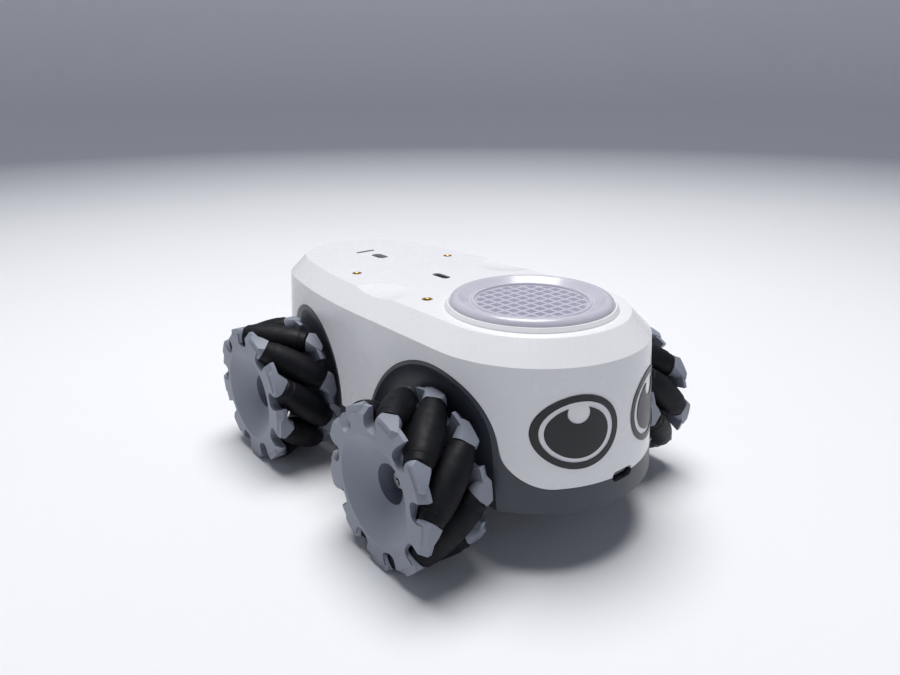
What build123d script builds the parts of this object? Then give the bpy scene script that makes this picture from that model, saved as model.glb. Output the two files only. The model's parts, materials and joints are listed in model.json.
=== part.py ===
"""Desktop robot on four mecanum wheels: separate solids in one frame, millimetres.

+X is forward (the side with the eyes), +Y is left, +Z is up, and z = 0 is the floor.
The origin is on the floor under the middle of the body.
"""
from build123d import *
from math import atan2, cos, radians, sin, sqrt, tan
import os

os.makedirs("parts", exist_ok=True)

# ---- driving dimensions, mm -------------------------------------------------
# Body outline at the shoulder line: straight sides in front, bowed sides at the rear
BODY_HALF_LENGTH = 93.75
BODY_HALF_WIDTH = 42.7
TAIL_RADIUS = 35.9
SHOULDER_Z = 73.8           # where the walls end and the 45 degree shoulder starts
DECK_Z = 81.1               # flat top
SEAM_Z = 32.7               # lower edge of the white shell
BELLY_Z = 23.9              # underside of the chassis
DRAFT_DEG = 4.0             # the walls lean out towards the bottom
SHELL_WALL = 2.2
TRAY_FLOOR = 1.8
SEAM_GAP = 0.2
BIB_CORNER_R = 12.3         # lower corners of the front and rear bib

# Wheels
WHEEL_R = 30.0              # rolling radius, over the rollers
AXLE_X = 48.8               # front axle at +X, rear axle at -X
WHEEL_FACE_Y = 68.9         # outer face of the wheels
WHEEL_WIDTH = 27.4
ROLLERS = 9
ROLLER_AXIS_R = 24.0        # roller axis to wheel axis at mid width
ROLLER_HALF_LENGTH = 13.4
ROLLER_RECESS_R = 3.5
ROLLER_RECESS_DEPTH = 2.6
ROLLER_COLLAR = 2.8
PIN_R = 1.0
PIN_CLEARANCE = 0.06
EAR_TIP_R = 29.0
NOTCH_BOTTOM_R = 21.5
NOTCH_WIDTH = 7.4
NOTCH_CORNER_R = 2.6
NOTCH_OFFSET_DEG = 11.3     # from a roller's middle to the notch beside its end
PLATE_THICKNESS = 3.8
TOOTH_BEVEL = 2.3
DISH_R = 19.6               # rim of the dished outer face
HUB_BORE_R = 7.3            # hole at the bottom of the dish
DISH_DEPTH = 7.0
HUB_TUBE_R = 10.5
HUB_TUBE_TOP = 4.3
HUB_FACE = 1.4              # top of the hub boss, outward from mid width
AXLE_SHAFT_R = 1.5
FRONT_ROLLER_DEG = 60.5     # angle of the first roller from +X towards +Z
REAR_ROLLER_DEG = 41.8

# Wheel wells
ARCH_R = 39.0               # edge of the white shell
ARCH_FLOOR_Y = 37.2         # the shell ends here in front and behind
ARCH_BLEND = 9.5            # round where the floor of a well meets its wall
WELL_LIP = 1.4              # flush grey lip inside the white edge

# Deck
INSERT_PITCH = 49.0
INSERT_CENTRE_X = -3.0
INSERT_R = 2.1
INSERT_BORE_R = 1.25
INSERT_DEPTH = 5.0
LAMP_X = BODY_HALF_LENGTH - BODY_HALF_WIDTH
LAMP_R = 29.6
LAMP_RIM_Z = 82.7           # top of the white ring round the lamp
LAMP_RIDGE_Z = 85.0
LAMP_HOLE_R = 27.6
PORT_X = -1.1
BOARD_TOP = DECK_Z - 7.4
SWITCH_X = -47.2
SWITCH_TRAVEL = 2.0

MID_Y = WHEEL_FACE_Y - WHEEL_WIDTH / 2
FACE = WHEEL_WIDTH / 2
PLATE_INNER = FACE - PLATE_THICKNESS


# ---- body outline -----------------------------------------------------------
def body_outline(grow=0.0):
    """Face of the body's plan: round nose, straight front sides, bowed rear sides, round tail."""
    length = BODY_HALF_LENGTH + grow
    width = BODY_HALF_WIDTH + grow
    tail = TAIL_RADIUS + grow
    nose_x = length - width
    tail_x = length - tail
    side = (tail_x ** 2 + width ** 2 - tail ** 2) / (2 * (width - tail))
    turn = atan2(tail_x, side - width)
    mid = (-side * sin(turn / 2), width - side + side * cos(turn / 2))
    end = (-tail_x - tail * sin(turn), tail * cos(turn))
    with BuildSketch() as outline:
        with BuildLine():
            Line((0, -width), (nose_x, -width))
            ThreePointArc((nose_x, -width), (length, 0), (nose_x, width))
            Line((nose_x, width), (0, width))
            ThreePointArc((0, width), mid, end)
            ThreePointArc(end, (-length, 0), (end[0], -end[1]))
            ThreePointArc((end[0], -end[1]), (mid[0], -mid[1]), (0, -width))
        make_face()
    return outline.sketch


def body_block(grow, bottom, top):
    """Drafted walls from bottom to the shoulder line, then the 45 degree shoulder up to top."""
    wall_top = min(top, SHOULDER_Z)
    lean = (SHOULDER_Z - bottom) * tan(radians(DRAFT_DEG))
    with BuildPart() as block:
        with BuildSketch(Plane.XY.offset(bottom)):
            add(body_outline(grow + lean))
        extrude(amount=wall_top - bottom, taper=DRAFT_DEG)
        if top > SHOULDER_Z:
            with BuildSketch(Plane.XY.offset(SHOULDER_Z)):
                add(body_outline(grow))
            extrude(amount=top - SHOULDER_Z, taper=45)
    return block.part


def wells(shrink):
    """The four wheel wells: a round pocket about each axle with a well-rounded bottom edge."""
    radius = ARCH_R - shrink
    floor = ARCH_FLOOR_Y + shrink
    blend = ARCH_BLEND - shrink
    with BuildPart() as pockets:
        for side in (-1, 1):
            for x in (AXLE_X, -AXLE_X):
                with BuildSketch(Plane(origin=(x, 0, WHEEL_R), x_dir=(1, 0, 0), z_dir=(0, 0, side))):
                    with BuildLine():
                        Polyline((0, floor), (0, 60), (radius, 60), (radius, floor + blend))
                        ThreePointArc((radius, floor + blend),
                                      (radius - blend * (1 - sqrt(0.5)), floor + blend * (1 - sqrt(0.5))),
                                      (radius - blend, floor))
                        Line((radius - blend, floor), (0, floor))
                    make_face()
                revolve(axis=Axis((x, 0, WHEEL_R), (0, side, 0)))
    return pockets.part


def bib_corners(trim):
    """The four regions below the rounded lower corners of the front and rear bib."""
    low = SEAM_Z - 1
    corner = BIB_CORNER_R + trim
    with BuildPart() as corners:
        for start in (62.0, -110.0):
            with BuildSketch(Plane.YZ.offset(start)):
                for side in (-1, 1):
                    y_mid = side * (ARCH_FLOOR_Y + SHELL_WALL - BIB_CORNER_R / 2)
                    with Locations((y_mid, low + (BIB_CORNER_R + 1) / 2)):
                        Rectangle(BIB_CORNER_R + 2 * SHELL_WALL, BIB_CORNER_R + 1)
                    with Locations((side * (ARCH_FLOOR_Y - BIB_CORNER_R), SEAM_Z + BIB_CORNER_R)):
                        Circle(corner, mode=Mode.SUBTRACT)
            extrude(amount=48)
    return corners.part


# ---- top shell --------------------------------------------------------------
BOSS_SPOTS = [(sx * 17.0, sy * 29.0) for sx in (-1, 1) for sy in (-1, 1)]
INSERT_SPOTS = [
    (INSERT_CENTRE_X + sx * INSERT_PITCH / 2, sy * INSERT_PITCH / 2) for sx in (-1, 1) for sy in (-1, 1)
]

with BuildPart() as top_shell:
    add(body_block(0, SEAM_Z, DECK_Z))
    add(body_block(-SHELL_WALL, SEAM_Z - 1, DECK_Z - SHELL_WALL), mode=Mode.SUBTRACT)
    add(wells(0), mode=Mode.SUBTRACT)
    add(bib_corners(0), mode=Mode.SUBTRACT)
    # bosses for the case screws reach down to the tray, short ones hold the inserts
    with BuildSketch(Plane.XY.offset(BELLY_Z + TRAY_FLOOR)):
        with Locations(*BOSS_SPOTS):
            Circle(3.2)
    extrude(amount=DECK_Z - SHELL_WALL - BELLY_Z - TRAY_FLOOR)
    with BuildSketch(Plane.XY.offset(DECK_Z - 7.4)):
        with Locations(*INSERT_SPOTS):
            Circle(3.4)
    extrude(amount=7.4 - SHELL_WALL)
    # shallow finger scoops on both edges of the deck
    for side in (-1, 1):
        with Locations((2, side * 34.0, DECK_Z + 74.0)):
            Sphere(75.0, mode=Mode.SUBTRACT)
    # holes in the deck
    with BuildSketch(Plane.XY.offset(DECK_Z)):
        with Locations(*INSERT_SPOTS):
            Circle(INSERT_R)
    extrude(amount=-INSERT_DEPTH, mode=Mode.SUBTRACT)
    with BuildSketch(Plane.XY.offset(DECK_Z - SHELL_WALL - 1)):
        with Locations((LAMP_X, 0)):
            Circle(LAMP_HOLE_R)
        with Locations((PORT_X, 0)):
            SlotOverall(9.6, 3.8)
        with Locations((-59.3, 0)):
            SlotOverall(9.8, 2.4, rotation=90)
        with Locations((SWITCH_X, 0)):
            SlotOverall(9.2, 5.0)
    extrude(amount=SHELL_WALL + 2, mode=Mode.SUBTRACT)
    # raised ring round the lamp
    with BuildSketch(Plane(origin=(LAMP_X, 0, 0), x_dir=(1, 0, 0), z_dir=(0, -1, 0))):
        Polygon((LAMP_R + 0.1, DECK_Z - 0.5), (LAMP_R + 1.9, DECK_Z - 0.5), (LAMP_R + 1.6, DECK_Z + 0.4),
                (LAMP_R + 0.7, LAMP_RIM_Z), (LAMP_R + 0.1, LAMP_RIM_Z), align=None)
    revolve(axis=Axis((LAMP_X, 0, 0), (0, 0, 1)))
    # screw holes up into the bosses, and the upper half of the front port
    with BuildSketch(Plane.XY.offset(BELLY_Z)):
        with Locations(*BOSS_SPOTS):
            Circle(1.25)
    extrude(amount=14, mode=Mode.SUBTRACT)
    with BuildSketch(Plane.YZ.offset(80)):
        with Locations((0, SEAM_Z - 0.1)):
            SlotOverall(10.0, 3.7)
    extrude(amount=20, mode=Mode.SUBTRACT)
top_shell.part.label = "top_shell"

# ---- chassis base -----------------------------------------------------------
with BuildPart() as chassis_base:
    add(body_block(0, BELLY_Z, SHOULDER_Z - 1))
    # away with the inside and with all that is above the seam, but not with the walls under the
    # rounded bib corners nor with the wheel well cups
    with BuildPart(mode=Mode.PRIVATE) as removed:
        with Locations((0, 0, SEAM_Z - SEAM_GAP + 30)):
            Box(220, 120, 60)
        add(bib_corners(SEAM_GAP + 0.05), mode=Mode.SUBTRACT)
        add(body_block(-SHELL_WALL, BELLY_Z + TRAY_FLOOR, SHOULDER_Z))
        add(wells(SEAM_GAP), mode=Mode.SUBTRACT)
    add(removed.part, mode=Mode.SUBTRACT)
    add(wells(WELL_LIP), mode=Mode.SUBTRACT)
    # axle holes, screw holes and the lower half of the front port
    for side in (-1, 1):
        with BuildSketch(Plane(origin=(0, side * 30.0, WHEEL_R), x_dir=(1, 0, 0), z_dir=(0, side, 0))):
            with Locations((AXLE_X, 0), (-AXLE_X, 0)):
                Circle(2.2)
        extrude(amount=12, mode=Mode.SUBTRACT)
    with BuildSketch(Plane.XY.offset(BELLY_Z)):
        with Locations(*BOSS_SPOTS):
            Circle(1.7)
    extrude(amount=TRAY_FLOOR, mode=Mode.SUBTRACT)
    with BuildSketch(Plane.XY.offset(BELLY_Z)):
        with Locations(*BOSS_SPOTS):
            Circle(3.0)
    extrude(amount=0.8, mode=Mode.SUBTRACT)
    with BuildSketch(Plane.YZ.offset(80)):
        with Locations((0, SEAM_Z - 0.1)):
            SlotOverall(10.0, 3.7)
    extrude(amount=20, mode=Mode.SUBTRACT)
    # shelf under the front port
    with BuildSketch(Plane.XY.offset(BELLY_Z + TRAY_FLOOR)):
        with Locations((87.5, 0)):
            Rectangle(7, 14)
    extrude(amount=SEAM_Z - 0.1 - 1.6 - BELLY_Z - TRAY_FLOOR)
chassis_base.part.label = "chassis_base"

# ---- lamp -------------------------------------------------------------------
with BuildPart() as lamp_dome:
    with BuildSketch(Plane(origin=(LAMP_X, 0, 0), x_dir=(1, 0, 0), z_dir=(0, -1, 0))):
        with BuildLine():
            Polyline((0, DECK_Z - 2.0), (LAMP_HOLE_R - 0.1, DECK_Z - 2.0), (LAMP_HOLE_R - 0.1, DECK_Z),
                     (LAMP_R, DECK_Z), (LAMP_R, LAMP_RIM_Z))
            ThreePointArc((LAMP_R, LAMP_RIM_Z), (28.8, 84.2), (27.0, LAMP_RIDGE_Z))
            Polyline((27.0, LAMP_RIDGE_Z), (26.2, LAMP_RIDGE_Z - 0.15), (22.6, 82.9), (21.8, 82.8),
                     (21.5, 83.3), (20.6, 83.3), (20.3, 82.6), (0, 82.6), (0, DECK_Z - 2.0))
        make_face()
    revolve(axis=Axis((LAMP_X, 0, 0), (0, 0, 1)))
lamp_dome.part.label = "lamp_dome"

GRID_CELL = 4.3
with BuildPart() as light_board:
    with BuildSketch(Plane.XY.offset(BOARD_TOP)):
        with Locations((LAMP_X, 0)):
            Circle(24.5)
    extrude(amount=1.6)
    with BuildSketch(Plane.XY.offset(BOARD_TOP + 1.6)):
        with Locations((LAMP_X, 0)):
            Circle(20.5)
            with GridLocations(GRID_CELL, GRID_CELL, 9, 9):
                Rectangle(GRID_CELL - 0.9, GRID_CELL - 0.9, mode=Mode.SUBTRACT)
    extrude(amount=3.2)
light_board.part.label = "light_board"

# ---- deck hardware ----------------------------------------------------------
with BuildPart() as brass_inserts:
    with BuildSketch(Plane.XY.offset(DECK_Z)):
        with Locations(*INSERT_SPOTS):
            Circle(INSERT_R)
    extrude(amount=-INSERT_DEPTH)
    with BuildSketch(Plane.XY.offset(DECK_Z)):
        with Locations(*INSERT_SPOTS):
            Circle(INSERT_BORE_R)
    extrude(amount=-INSERT_DEPTH, mode=Mode.SUBTRACT)
    chamfer(brass_inserts.edges().filter_by(GeomType.CIRCLE).group_by(Axis.Z)[-1].group_by(
        SortBy.RADIUS)[0], 0.3)
brass_inserts.part.label = "brass_inserts"

with BuildPart() as power_switch:
    with BuildSketch(Plane.XY.offset(DECK_Z - 4.2)):
        with Locations((SWITCH_X - SWITCH_TRAVEL / 2, 0)):
            RectangleRounded(6.6, 4.2, 0.8)
    extrude(amount=1.6)
    with BuildSketch(Plane.XY.offset(DECK_Z - 2.6)):
        with Locations((SWITCH_X - SWITCH_TRAVEL / 2, 0)):
            RectangleRounded(3.4, 3.2, 0.8)
    extrude(amount=1.2)
    fillet(power_switch.faces().sort_by(Axis.Z)[-1].edges(), 0.4)
power_switch.part.label = "power_switch"


def receptacle(centre, outward, across, depth):
    """A pill-shaped metal sleeve with a tongue, open along outward, its mouth at centre."""
    with BuildPart() as port:
        with BuildSketch(Plane(origin=centre, x_dir=across, z_dir=outward)):
            SlotOverall(8.9, 3.2)
        extrude(amount=-depth)
        with BuildSketch(Plane(origin=centre, x_dir=across, z_dir=outward)):
            SlotOverall(8.3, 2.6)
            Rectangle(5.8, 0.7, mode=Mode.SUBTRACT)
        extrude(amount=-(depth - 0.8), mode=Mode.SUBTRACT)
    return port.part


PORT_DEPTH = 6.9
with BuildPart() as usb_ports:
    add(receptacle((PORT_X, 0, DECK_Z - 0.5), (0, 0, 1), (1, 0, 0), PORT_DEPTH))
    add(receptacle((BODY_HALF_LENGTH + 1.4, 0, SEAM_Z - 0.1), (1, 0, 0), (0, 1, 0), PORT_DEPTH))
usb_ports.part.label = "usb_ports"

# ---- eyes -------------------------------------------------------------------
EYE_Y = 17.4
EYE_Z = 52.0
with BuildPart() as eye_stickers:
    add(body_block(0.25, SEAM_Z, SHOULDER_Z))
    add(body_block(0.02, SEAM_Z - 1, SHOULDER_Z + 1), mode=Mode.SUBTRACT)
    with BuildSketch(Plane.YZ.offset(60)):
        for side in (-1, 1):
            with Locations((side * EYE_Y, EYE_Z)):
                Ellipse(13.8, 12.7)
                Ellipse(11.75, 10.45, mode=Mode.SUBTRACT)
            with Locations((side * (EYE_Y + 0.3), EYE_Z - 0.1)):
                Ellipse(9.95, 8.8)
            with Locations((side * (EYE_Y + 0.4), EYE_Z + 6.6)):
                Circle(3.6, mode=Mode.SUBTRACT)
    extrude(amount=50, mode=Mode.INTERSECT)
eye_stickers.part.label = "eye_stickers"

# ---- inside -----------------------------------------------------------------
with BuildPart() as main_board:
    with BuildSketch(Plane.XY.offset(BOARD_TOP)):
        with Locations((-11.0, 0)):
            RectangleRounded(88, 56, 3)
        with Locations(*BOSS_SPOTS):
            Circle(3.6, mode=Mode.SUBTRACT)
    extrude(amount=-1.6)
    # slide switch body, connector block and two chips
    with BuildSketch(Plane.XY.offset(BOARD_TOP)):
        with Locations((SWITCH_X, 0)):
            Rectangle(11, 6)
        with Locations((-30, 12), (-20, -12)):
            Rectangle(9, 9)
    extrude(amount=3.0)
main_board.part.label = "main_board"

with BuildPart() as battery_pack:
    with BuildSketch(Plane.XY.offset(BELLY_Z + TRAY_FLOOR)):
        Rectangle(76, 41)
    extrude(amount=14)
    with BuildSketch(Plane.XY.offset(BELLY_Z + TRAY_FLOOR + 1.4)):
        Rectangle(72, 38.4)
    extrude(amount=14, mode=Mode.SUBTRACT)
    for side in (-1, 1):
        with BuildSketch(Plane.YZ.offset(-33)):
            with Locations((side * 9.6, 35.9)):
                Circle(9.2)
        extrude(amount=66)
battery_pack.part.label = "battery_pack"

# ---- drive ------------------------------------------------------------------
MOTOR_BACK_Y = 10.8
GEARBOX_BACK_Y = 25.6
with BuildPart() as gear_motors:
    for side in (-1, 1):
        back = Plane(origin=(0, side * MOTOR_BACK_Y, WHEEL_R), x_dir=(1, 0, 0), z_dir=(0, side, 0))
        with BuildSketch(back):
            with Locations((AXLE_X, 0), (-AXLE_X, 0)):
                Circle(5.6)
        extrude(amount=GEARBOX_BACK_Y - MOTOR_BACK_Y)
        with BuildSketch(back.offset(GEARBOX_BACK_Y - MOTOR_BACK_Y)):
            with Locations((AXLE_X, 0), (-AXLE_X, 0)):
                Rectangle(12, 8.6)
        extrude(amount=ARCH_FLOOR_Y + SEAM_GAP - GEARBOX_BACK_Y)
    with Locations((0, 0, WHEEL_R)):
        Box(200, 100, 8.6, mode=Mode.INTERSECT)
    for side in (-1, 1):
        with BuildSketch(Plane(origin=(0, side * 23.0, WHEEL_R), x_dir=(1, 0, 0), z_dir=(0, side, 0))):
            with Locations((AXLE_X, 0), (-AXLE_X, 0)):
                Circle(AXLE_SHAFT_R + 0.05)
        extrude(amount=20, mode=Mode.SUBTRACT)
gear_motors.part.label = "gear_motors"

with BuildPart() as case_screws:
    with BuildSketch(Plane.XY.offset(BELLY_Z)):
        with Locations(*BOSS_SPOTS):
            Circle(2.8)
    extrude(amount=0.8)
    with BuildSketch(Plane.XY.offset(BELLY_Z + 0.8)):
        with Locations(*BOSS_SPOTS):
            Circle(1.25)
    extrude(amount=11)
    with BuildSketch(Plane.XY.offset(BELLY_Z)):
        with Locations(*BOSS_SPOTS):
            Rectangle(3.2, 0.7)
            Rectangle(0.7, 3.2)
    extrude(amount=0.5, mode=Mode.SUBTRACT)
case_screws.part.label = "case_screws"

for body in (top_shell, chassis_base, lamp_dome, light_board, brass_inserts, power_switch, usb_ports,
             eye_stickers, main_board, battery_pack, gear_motors, case_screws):
    export_step(body.part, "parts/" + body.part.label + ".step")


# ---- wheels -----------------------------------------------------------------
PIN_END = 17.0
PLUG_START = 11.1
PLUG_R = 2.8
SEAT_R = 4.3
BARREL_END_R = sqrt(WHEEL_R ** 2 - ROLLER_HALF_LENGTH ** 2 / 2) - ROLLER_AXIS_R
BARREL_MID_R = WHEEL_R - ROLLER_AXIS_R


def barrel_radius(along):
    """Radius of a roller at a distance along its axis, so that the wheel rolls on a true circle."""
    return sqrt(WHEEL_R ** 2 - along ** 2 / 2) - ROLLER_AXIS_R


class Wheel:
    """Where one wheel sits, which way its rollers lean, and how far it is turned."""

    def __init__(self, name, x, side, hand, first_deg):
        self.name = name
        self.x = x
        self.side = side
        self.hand = hand
        self.first_deg = first_deg

    def face(self, outward):
        """Plane across the axle; its normal points away from the body."""
        origin = (self.x, self.side * (MID_Y + outward), WHEEL_R)
        return Plane(origin=origin, x_dir=(1, 0, 0), z_dir=(0, self.side, 0))

    def roller_centre(self, index):
        angle = radians(self.first_deg + index * 360 / ROLLERS)
        reach = ROLLER_AXIS_R
        return (self.x + reach * cos(angle), self.side * MID_Y, WHEEL_R + reach * sin(angle))

    def roller_direction(self, index):
        """Along the roller axis, towards the outer face."""
        angle = radians(self.first_deg + index * 360 / ROLLERS)
        lean = -self.hand / sqrt(2)
        return (-lean * sin(angle), self.side / sqrt(2), lean * cos(angle))

    def roller_plane(self, index, along=0.0):
        """Plane across a roller axis; its normal points to the outer face."""
        centre = Vector(*self.roller_centre(index))
        way = Vector(*self.roller_direction(index))
        angle = radians(self.first_deg + index * 360 / ROLLERS)
        radial = (cos(angle), 0, sin(angle))
        return Plane(origin=centre + way * along, x_dir=radial, z_dir=way)

    def roller_section(self, index):
        """Plane along a roller axis: local x is radial, local y runs to the outer face."""
        across = self.roller_plane(index)
        return Plane(origin=across.origin, x_dir=across.x_dir, z_dir=across.x_dir.cross(across.z_dir))


def roller(wheel, index):
    """Barrel with a slightly thinner collar at each end and a recess for the seat's plug."""
    half = ROLLER_HALF_LENGTH
    floor = half - ROLLER_RECESS_DEPTH
    bore = PIN_R + PIN_CLEARANCE
    step = half - ROLLER_COLLAR
    thick = barrel_radius(step)
    thin = thick - 0.22
    with BuildPart() as barrel:
        with BuildSketch(wheel.roller_section(index)):
            with BuildLine():
                Polyline((bore, floor), (ROLLER_RECESS_R, floor), (ROLLER_RECESS_R, half),
                         (BARREL_END_R - 0.5, half), (BARREL_END_R - 0.15, half - 0.4), (thin, step),
                         (thick, step - 0.2))
                ThreePointArc((thick, step - 0.2), (BARREL_MID_R, 0), (thick, 0.2 - step))
                Polyline((thick, 0.2 - step), (thin, -step), (BARREL_END_R - 0.15, 0.4 - half),
                         (BARREL_END_R - 0.5, -half), (ROLLER_RECESS_R, -half), (ROLLER_RECESS_R, -floor),
                         (bore, -floor), (bore, floor))
            make_face()
        revolve(axis=Axis(wheel.roller_plane(index).origin, wheel.roller_direction(index)))
    return barrel.part


def roller_seats(wheel, end):
    """Slanted blocks on a plate behind the roller ends, each with a plug that reaches into the roller."""
    with BuildPart() as seats:
        for index in range(ROLLERS):
            with BuildSketch(wheel.roller_plane(index, end * (ROLLER_HALF_LENGTH + 0.35))):
                Circle(SEAT_R)
            extrude(amount=end * 7)
            with BuildSketch(wheel.roller_plane(index, end * PLUG_START)):
                Circle(PLUG_R)
            extrude(amount=end * 5)
        # nothing beyond the face or the rim of the plate
        with BuildSketch(wheel.face(0)):
            Circle(EAR_TIP_R + 0.3)
        extrude(amount=end * (FACE - 0.5), mode=Mode.INTERSECT)
    return seats.part


def roller_room(wheel, end):
    """Running clearance round the roller ends."""
    low = 8.0
    high = ROLLER_HALF_LENGTH + 0.35
    with BuildPart() as room:
        for index in range(ROLLERS):
            with BuildSketch(wheel.roller_section(index)):
                with BuildLine():
                    Polyline((0, end * low), (barrel_radius(low) + 0.45, end * low),
                             (barrel_radius(high) + 0.45, end * high), (0, end * high),
                             (0, end * low))
                make_face()
            revolve(axis=Axis(wheel.roller_plane(index).origin, wheel.roller_direction(index)))
    return room.part


def pin_holes(wheel, end):
    with BuildPart() as holes:
        for index in range(ROLLERS):
            with BuildSketch(wheel.roller_plane(index, end * 10)):
                Circle(PIN_R)
            extrude(amount=end * (PIN_END - 10))
    return holes.part


def wheel_section(wheel):
    """Plane through the axle: local x is radial, local y points away from the body."""
    return Plane(origin=(wheel.x, wheel.side * MID_Y, WHEEL_R), x_dir=(1, 0, 0), z_dir=(0, 0, wheel.side))


def slotted_disc(wheel, end):
    """A disc with one U notch beside each roller end; end is +1 on the outer plate, -1 on the inner."""
    first = -wheel.side * (wheel.first_deg - end * wheel.hand * NOTCH_OFFSET_DEG)
    with BuildPart() as disc:
        with BuildSketch(wheel.face(end * PLATE_INNER)):
            Circle(EAR_TIP_R)
            with PolarLocations(NOTCH_BOTTOM_R + 10, ROLLERS, start_angle=first):
                RectangleRounded(20, NOTCH_WIDTH, NOTCH_CORNER_R, mode=Mode.SUBTRACT)
        extrude(amount=end * PLATE_THICKNESS)
    return disc.part


def outer_plate(wheel):
    """Eared outer plate with a deep dished middle that closes on the hub tube."""
    axle = Axis((wheel.x, 0, WHEEL_R), (0, wheel.side, 0))
    with BuildPart() as plate:
        add(slotted_disc(wheel, 1))
        with BuildSketch(wheel_section(wheel)):
            Polygon((HUB_BORE_R, FACE - DISH_DEPTH), (HUB_BORE_R, HUB_TUBE_TOP), (HUB_TUBE_R, HUB_TUBE_TOP),
                    (HUB_TUBE_R + 2.5, HUB_TUBE_TOP), (21.2, PLATE_INNER), (21.2, FACE), (DISH_R, FACE),
                    align=None)
        revolve(axis=axle)
        with BuildSketch(wheel_section(wheel)):
            Polygon((0, FACE - DISH_DEPTH), (HUB_BORE_R, FACE - DISH_DEPTH), (DISH_R, FACE), (DISH_R, FACE + 1),
                    (0, FACE + 1), align=None)
        revolve(axis=axle, mode=Mode.SUBTRACT)
        with BuildSketch(wheel_section(wheel)):
            Polygon((EAR_TIP_R - TOOTH_BEVEL, FACE), (EAR_TIP_R, FACE - TOOTH_BEVEL), (EAR_TIP_R + 1, FACE - TOOTH_BEVEL),
                    (EAR_TIP_R + 1, FACE + 1), (EAR_TIP_R - TOOTH_BEVEL, FACE + 1), align=None)
        revolve(axis=axle, mode=Mode.SUBTRACT)
        add(roller_room(wheel, 1), mode=Mode.SUBTRACT)
        add(roller_seats(wheel, 1))
        add(pin_holes(wheel, 1), mode=Mode.SUBTRACT)
    return plate.part


def inner_plate(wheel):
    """Eared inner plate with the hub tube and the boss that takes the axle."""
    axle = Axis((wheel.x, 0, WHEEL_R), (0, wheel.side, 0))
    with BuildPart() as plate:
        add(slotted_disc(wheel, -1))
        with BuildSketch(wheel_section(wheel)):
            Polygon((HUB_BORE_R, -PLATE_INNER), (HUB_TUBE_R + 3, -PLATE_INNER), (HUB_TUBE_R, 3 - PLATE_INNER),
                    (HUB_TUBE_R, HUB_TUBE_TOP), (HUB_BORE_R, HUB_TUBE_TOP), align=None)
            Polygon((0, -PLATE_INNER), (HUB_BORE_R, -PLATE_INNER), (4.2, 3 - PLATE_INNER), (4.2, HUB_FACE),
                    (0, HUB_FACE), align=None)
        revolve(axis=axle)
        with BuildSketch(wheel_section(wheel)):
            Polygon((EAR_TIP_R - TOOTH_BEVEL, -FACE), (EAR_TIP_R, TOOTH_BEVEL - FACE), (EAR_TIP_R + 1, TOOTH_BEVEL - FACE),
                    (EAR_TIP_R + 1, -FACE - 1), (EAR_TIP_R - TOOTH_BEVEL, -FACE - 1), align=None)
        revolve(axis=axle, mode=Mode.SUBTRACT)
        add(roller_room(wheel, -1), mode=Mode.SUBTRACT)
        add(roller_seats(wheel, -1))
        add(pin_holes(wheel, -1), mode=Mode.SUBTRACT)
        with BuildSketch(wheel.face(-FACE - 1)):
            Circle(AXLE_SHAFT_R)
        extrude(amount=FACE + 10, mode=Mode.SUBTRACT)
    return plate.part


def pins_and_axle(wheel):
    """Nine roller pins, and the axle with the cross-head screw that holds the wheel on it."""
    with BuildPart() as metal:
        for index in range(ROLLERS):
            with BuildSketch(wheel.roller_plane(index, -PIN_END)):
                Circle(PIN_R)
            extrude(amount=2 * PIN_END)
        with BuildSketch(wheel.face(24.0 - MID_Y)):
            Circle(AXLE_SHAFT_R)
        extrude(amount=MID_Y - 24.0 + HUB_FACE)
        with BuildSketch(wheel.face(HUB_FACE)):
            Circle(3.0)
        extrude(amount=1.7)
        with BuildSketch(wheel.face(HUB_FACE + 1.7)):
            Rectangle(3.8, 0.8)
            Rectangle(0.8, 3.8)
        extrude(amount=-1.1, mode=Mode.SUBTRACT)
    return metal.part


WHEELS = [
    Wheel("fr", AXLE_X, -1, 1, FRONT_ROLLER_DEG),
    Wheel("fl", AXLE_X, 1, 1, FRONT_ROLLER_DEG),
    Wheel("rr", -AXLE_X, -1, -1, REAR_ROLLER_DEG),
    Wheel("rl", -AXLE_X, 1, -1, REAR_ROLLER_DEG),
]

for wheel in WHEELS:
    pieces = {
        "outer_plate": outer_plate(wheel),
        "inner_plate": inner_plate(wheel),
        "pins_and_axle": pins_and_axle(wheel),
    }
    for index in range(ROLLERS):
        pieces["roller_" + str(index + 1)] = roller(wheel, index)
    for name, piece in pieces.items():
        piece.label = wheel.name + "_" + name
        export_step(piece, "parts/" + piece.label + ".step")
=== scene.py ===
"""Looks of the desktop robot on mecanum wheels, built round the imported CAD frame. Metres."""
import bpy
import json
import math
from mathutils import Matrix, Vector

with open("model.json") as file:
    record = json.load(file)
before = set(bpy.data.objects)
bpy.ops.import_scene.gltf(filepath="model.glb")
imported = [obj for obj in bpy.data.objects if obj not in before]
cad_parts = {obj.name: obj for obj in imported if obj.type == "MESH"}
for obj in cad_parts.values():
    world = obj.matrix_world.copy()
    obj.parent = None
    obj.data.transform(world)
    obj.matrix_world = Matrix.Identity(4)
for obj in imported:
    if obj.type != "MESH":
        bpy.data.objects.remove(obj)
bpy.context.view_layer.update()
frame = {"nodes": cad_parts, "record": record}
nodes = frame["nodes"]
MM = 0.001
LAMP_X = 0.05105            # middle of the lamp
LAMP_CELL = 0.0043          # pitch of the light cells under it
LAMP_WINDOW = 0.0203

# ---- camera -----------------------------------------------------------------
CAMERA_AT = Vector((0.21964, -0.17325, 0.15652))
CAMERA_LOOK = Vector((-0.73153, 0.58881, -0.34376))
CAMERA_UP = Vector((-0.26422, 0.21997, 0.93904))
SENSOR_MM = 36.0
LENS_MM = 27.895

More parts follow.
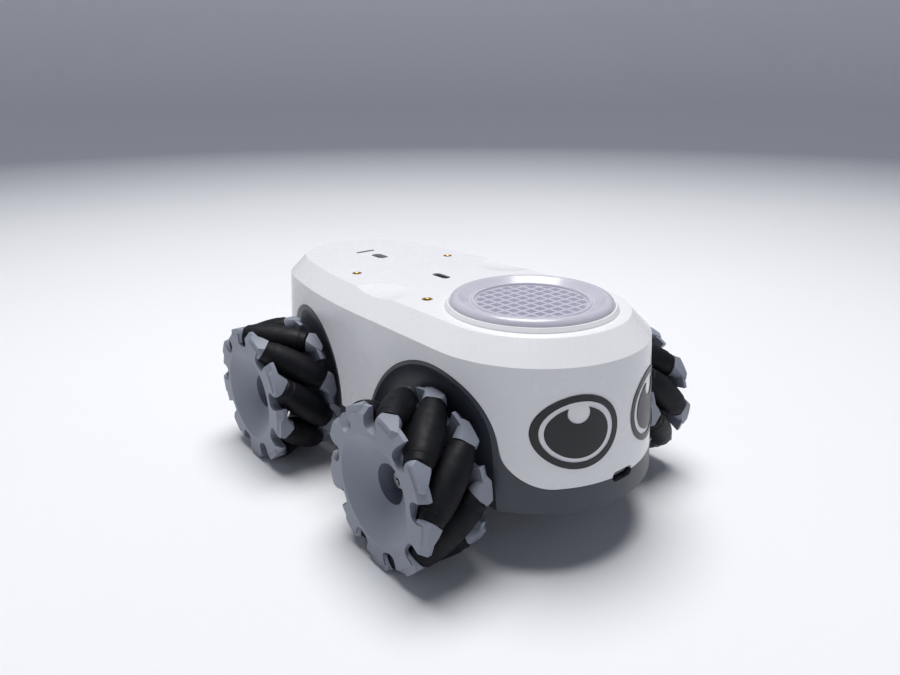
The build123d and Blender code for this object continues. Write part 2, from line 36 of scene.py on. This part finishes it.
data = bpy.data.cameras.new("camera")
data.sensor_width = SENSOR_MM
data.lens = LENS_MM
data.clip_start = 0.01
data.clip_end = 50
camera = bpy.data.objects.new("camera", data)
side = CAMERA_LOOK.cross(CAMERA_UP).normalized()
up = side.cross(CAMERA_LOOK).normalized()
camera.matrix_world = Matrix.Translation(CAMERA_AT) @ Matrix((side, up, -CAMERA_LOOK)).transposed().to_4x4()
bpy.context.scene.collection.objects.link(camera)
bpy.context.scene.camera = camera


# ---- materials --------------------------------------------------------------
class Nodes:
    """A short way to write a node material."""

    def __init__(self, name):
        self.material = bpy.data.materials.new(name)
        self.material.use_nodes = True
        self.tree = self.material.node_tree
        self.tree.nodes.clear()
        self.output = self.add("ShaderNodeOutputMaterial")
        self.shader = self.add("ShaderNodeBsdfPrincipled")
        self.link(self.shader.outputs[0], self.output.inputs["Surface"])
        self.where = self.add("ShaderNodeTexCoord").outputs["Object"]

    def add(self, kind, **settings):
        node = self.tree.nodes.new(kind)
        for key, value in settings.items():
            setattr(node, key, value)
        return node

    def link(self, source, target):
        self.tree.links.new(source, target)

    def set(self, **values):
        for key, value in values.items():
            self.shader.inputs[key.replace("_", " ")].default_value = value

    def noise(self, scale, detail=2.0, rough=0.5):
        node = self.add("ShaderNodeTexNoise")
        node.inputs["Scale"].default_value = scale
        node.inputs["Detail"].default_value = detail
        node.inputs["Roughness"].default_value = rough
        self.link(self.where, node.inputs["Vector"])
        return node.outputs["Fac"]

    def spread(self, value, low, high, start=0.3, end=0.7):
        """value from start..end mapped to low..high."""
        node = self.add("ShaderNodeMapRange")
        node.inputs["From Min"].default_value = start
        node.inputs["From Max"].default_value = end
        node.inputs["To Min"].default_value = low
        node.inputs["To Max"].default_value = high
        self.link(value, node.inputs["Value"])
        return node.outputs["Result"]

    def mix(self, factor, first, second):
        node = self.add("ShaderNodeMix", data_type="RGBA")
        self.link(factor, node.inputs["Factor"])
        for slot, colour in ((6, first), (7, second)):
            if isinstance(colour, tuple):
                node.inputs[slot].default_value = colour + (1.0,)
            else:
                self.link(colour, node.inputs[slot])
        return node.outputs[2]

    def math(self, operation, first, second=0.0):
        node = self.add("ShaderNodeMath", operation=operation)
        for slot, value in enumerate((first, second)):
            if isinstance(value, float):
                node.inputs[slot].default_value = value
            else:
                self.link(value, node.inputs[slot])
        return node.outputs[0]

    def bump(self, height, distance, strength=1.0):
        node = self.add("ShaderNodeBump")
        node.inputs["Distance"].default_value = distance
        node.inputs["Strength"].default_value = strength
        self.link(height, node.inputs["Height"])
        self.link(node.outputs["Normal"], self.shader.inputs["Normal"])
        return node


def moulded(name, colour, shade, rough, grain=2600.0, depth=0.012, coat=0.0):
    """Moulded plastic: two close colours in soft clouds, a fine grain, uneven gloss."""
    m = Nodes(name)
    clouds = m.noise(28.0, 3.0)
    fine = m.noise(grain, 2.0, 0.6)
    m.link(m.mix(m.spread(clouds, 0.0, 1.0), colour, shade), m.shader.inputs["Base Color"])
    m.link(m.spread(m.noise(90.0, 3.0), rough - 0.02, rough + 0.03), m.shader.inputs["Roughness"])
    m.bump(fine, depth * MM, 0.6)
    m.set(Coat_Weight=coat, Coat_Roughness=0.12, IOR=1.49)
    return m.material


def metal(name, colour, shade, rough, grain=900.0, depth=0.01):
    """Machined metal with fine streaks."""
    m = Nodes(name)
    stretch = m.add("ShaderNodeMapping")
    stretch.inputs["Scale"].default_value = (1.0, 1.0, 6.0)
    m.link(m.where, stretch.inputs["Vector"])
    streaks = m.add("ShaderNodeTexNoise")
    streaks.inputs["Scale"].default_value = grain
    streaks.inputs["Detail"].default_value = 3.0
    m.link(stretch.outputs["Vector"], streaks.inputs["Vector"])
    m.link(m.mix(m.spread(streaks.outputs["Fac"], 0.0, 1.0), colour, shade), m.shader.inputs["Base Color"])
    m.link(m.spread(streaks.outputs["Fac"], rough - 0.06, rough + 0.1), m.shader.inputs["Roughness"])
    m.bump(streaks.outputs["Fac"], depth * MM, 0.5)
    m.set(Metallic=1.0)
    return m.material


def rubber(name):
    m = Nodes(name)
    dust = m.noise(160.0, 5.0, 0.65)
    m.link(m.mix(m.spread(dust, 0.0, 1.0, 0.45, 0.8), (0.0035, 0.0038, 0.0060), (0.010, 0.0105, 0.015)),
           m.shader.inputs["Base Color"])
    m.link(m.spread(m.noise(420.0, 3.0), 0.50, 0.66), m.shader.inputs["Roughness"])
    m.bump(m.noise(1900.0, 3.0, 0.6), 0.02 * MM, 0.7)
    m.set(Specular_IOR_Level=0.22)
    return m.material


def lens(name):
    """Milky translucent cover: the light cells under it show as a diamond lattice in the middle, with the cells'
    pockets in painted shade, darker than the milky ribs.
    """
    m = Nodes(name)
    axes = m.add("ShaderNodeSeparateXYZ")
    m.link(m.where, axes.inputs[0])
    ribs = []
    for axis, shift in ((0, LAMP_X), (1, 0.0)):
        offset = m.math("SUBTRACT", axes.outputs[axis], shift)
        cell = m.math("FRACT", m.math("ADD", m.math("DIVIDE", offset, LAMP_CELL), 64.5))
        ribs.append(m.math("ABSOLUTE", m.math("SUBTRACT", cell, 0.5)))
    rib = m.math("MAXIMUM", ribs[0], ribs[1])
    along = m.math("SUBTRACT", axes.outputs[0], LAMP_X)
    reach = m.math("SQRT", m.math("ADD", m.math("MULTIPLY", along, along),
                                  m.math("MULTIPLY", axes.outputs[1], axes.outputs[1])))
    inside = m.spread(reach, 1.0, 0.0, LAMP_WINDOW - 0.0008, LAMP_WINDOW)
    lattice = m.math("MULTIPLY", inside, m.spread(rib, 1.0, 0.0, 0.33, 0.43))
    # painted shade: the pockets between the ribs of the light cells are coloured a darker lavender than the milky
    # ribs
    shaded_cell_colour = m.mix(m.spread(m.noise(60.0, 2.0), 0.0, 1.0), (0.36, 0.355, 0.47), (0.42, 0.41, 0.53))
    milk = m.mix(m.spread(m.noise(40.0, 2.0), 0.0, 1.0), (0.74, 0.73, 0.82), (0.70, 0.69, 0.79))
    m.link(m.mix(lattice, milk, shaded_cell_colour), m.shader.inputs["Base Color"])
    m.link(m.spread(m.noise(300.0, 2.0), 0.20, 0.27), m.shader.inputs["Roughness"])
    m.bump(m.noise(1400.0, 2.0), 0.002 * MM, 0.3)
    m.set(Transmission_Weight=0.25, IOR=1.46, Coat_Weight=0.3, Coat_Roughness=0.08)
    return m.material


def board(name):
    m = Nodes(name)
    m.link(m.mix(m.spread(m.noise(900.0, 2.0), 0.0, 1.0), (0.012, 0.060, 0.035), (0.02, 0.085, 0.05)),
           m.shader.inputs["Base Color"])
    m.set(Roughness=0.38)
    m.bump(m.noise(2400.0), 0.01 * MM)
    return m.material


WHITE = moulded("shell_white", (0.83, 0.83, 0.85), (0.815, 0.815, 0.836), 0.26, grain=3200.0, depth=0.003, coat=0.12)
GREY = moulded("chassis_grey", (0.050, 0.056, 0.075), (0.043, 0.049, 0.066), 0.42, depth=0.02)
WHEEL_GREY = moulded("wheel_grey", (0.250, 0.270, 0.325), (0.222, 0.240, 0.292), 0.42, depth=0.02)
BLACK = moulded("switch_black", (0.012, 0.012, 0.015), (0.02, 0.02, 0.024), 0.5)
EYE = moulded("eye_black", (0.004, 0.0043, 0.007), (0.006, 0.0064, 0.010), 0.34, grain=1200.0, depth=0.004)
BRASS = metal("insert_brass", (0.86, 0.62, 0.22), (0.66, 0.44, 0.12), 0.30)
STEEL = metal("steel", (0.42, 0.42, 0.44), (0.30, 0.30, 0.32), 0.34)
DARK_STEEL = metal("port_steel", (0.16, 0.16, 0.18), (0.09, 0.09, 0.10), 0.38)
GRID = moulded("light_grid", (0.86, 0.86, 0.90), (0.80, 0.80, 0.86), 0.5)
LENS = lens("lamp_lens")
BOARD = board("circuit_board")
WRAP = moulded("battery_wrap", (0.02, 0.07, 0.30), (0.025, 0.09, 0.36), 0.3)
RUBBER = rubber("roller_rubber")

SLOT_MATERIAL = {
    "shell_white": WHITE, "chassis_grey": GREY, "lamp_lens": LENS, "light_grid": GRID,
    "insert_brass": BRASS, "switch_black": BLACK, "port_steel": DARK_STEEL, "eye_black": EYE,
    "circuit_board": BOARD, "battery_wrap": WRAP, "motor_steel": STEEL, "screw_steel": DARK_STEEL,
    "wheel_grey": WHEEL_GREY, "axle_steel": STEEL, "roller_rubber": RUBBER,
}
slot_of = {row["node"]: row["material_slot"] for row in frame["record"]["subparts"]}

for name, node in nodes.items():
    node.data.materials.clear()
    node.data.materials.append(SLOT_MATERIAL[slot_of[name]])
    for attribute in list(node.data.attributes):
        if attribute.name == "custom_normal":
            node.data.attributes.remove(attribute)
    node.data.shade_smooth()
    node.data.set_sharp_from_angle(angle=math.radians(28))

# ---- studio -----------------------------------------------------------------
def studio():
    """Round seamless sweep: a flat floor that curves up into a wall all the way round."""
    flat, bend, top, steps, around = 0.62, 0.62, 2.0, 20, 96
    profile = [(0.0, 0.0), (0.2, 0.0), (flat, 0.0)]
    for k in range(1, steps + 1):
        a = math.pi / 2 * k / steps
        profile.append((flat + bend * math.sin(a), bend * (1 - math.cos(a))))
    profile.append((flat + bend, top))
    verts, faces = [(0.0, 0.0, 0.0)], []
    for r, z in profile[1:]:
        for k in range(around):
            a = 2 * math.pi * k / around
            verts.append((r * math.cos(a), r * math.sin(a), z))
    for k in range(around):
        faces.append((0, 1 + k, 1 + (k + 1) % around))
    for ring in range(len(profile) - 2):
        base = 1 + ring * around
        for k in range(around):
            n = (k + 1) % around
            faces.append((base + k, base + around + k, base + around + n, base + n))
    mesh = bpy.data.meshes.new("floor")
    mesh.from_pydata(verts, [], faces)
    mesh.shade_smooth()
    floor = bpy.data.objects.new("floor", mesh)
    bpy.context.scene.collection.objects.link(floor)
    m = Nodes("paper_with_painted_wall_shade")
    paper = m.mix(m.spread(m.noise(3.0, 3.0), 0.0, 1.0), (0.86, 0.87, 0.89), (0.84, 0.85, 0.872))
    # painted shade: the wall of the sweep is coloured far darker than the floor paper, standing in for light falling
    # off
    wall = m.mix(m.spread(m.noise(2.0, 3.0), 0.0, 1.0), (0.270, 0.280, 0.320), (0.264, 0.274, 0.313))
    height = m.add("ShaderNodeSeparateXYZ")
    m.link(m.where, height.inputs[0])
    # painted light: the wall turns lighter again higher up, a painted gradient of light across the backdrop
    painted_wall_gradient = m.mix(m.spread(height.outputs[2], 0.0, 1.0, 0.12, 0.6), wall, (0.56, 0.575, 0.64))
    m.link(m.mix(m.spread(height.outputs[2], 0.0, 1.0, 0.0, 0.06), paper, painted_wall_gradient), m.shader.inputs["Base Color"])
    m.set(Roughness=0.85, Specular_IOR_Level=0.2)
    m.bump(m.noise(900.0, 3.0), 0.004 * MM, 0.3)
    mesh.materials.append(m.material)
    return floor


def area(name, at, aim, size, power, colour=(1.0, 1.0, 1.0)):
    lamp = bpy.data.lights.new(name, "AREA")
    lamp.shape = "DISK"
    lamp.size = size
    lamp.energy = power
    lamp.color = colour
    lamp_object = bpy.data.objects.new(name, lamp)
    lamp_object.location = at
    lamp_object.rotation_mode = "QUATERNION"
    lamp_object.rotation_quaternion = (Vector(aim) - Vector(at)).to_track_quat("-Z", "Y")
    bpy.context.scene.collection.objects.link(lamp_object)
    return lamp_object


studio()
area("overhead", (-0.10, 0.05, 1.15), (0.0, 0.0, 0.0), 0.8, 14.5)

world = bpy.data.worlds.new("world")
world.use_nodes = True
world.node_tree.nodes["Background"].inputs["Color"].default_value = (0.80, 0.83, 0.95, 1.0)
world.node_tree.nodes["Background"].inputs["Strength"].default_value = 0.06
bpy.context.scene.world = world
bpy.context.scene.view_settings.view_transform = "Standard"
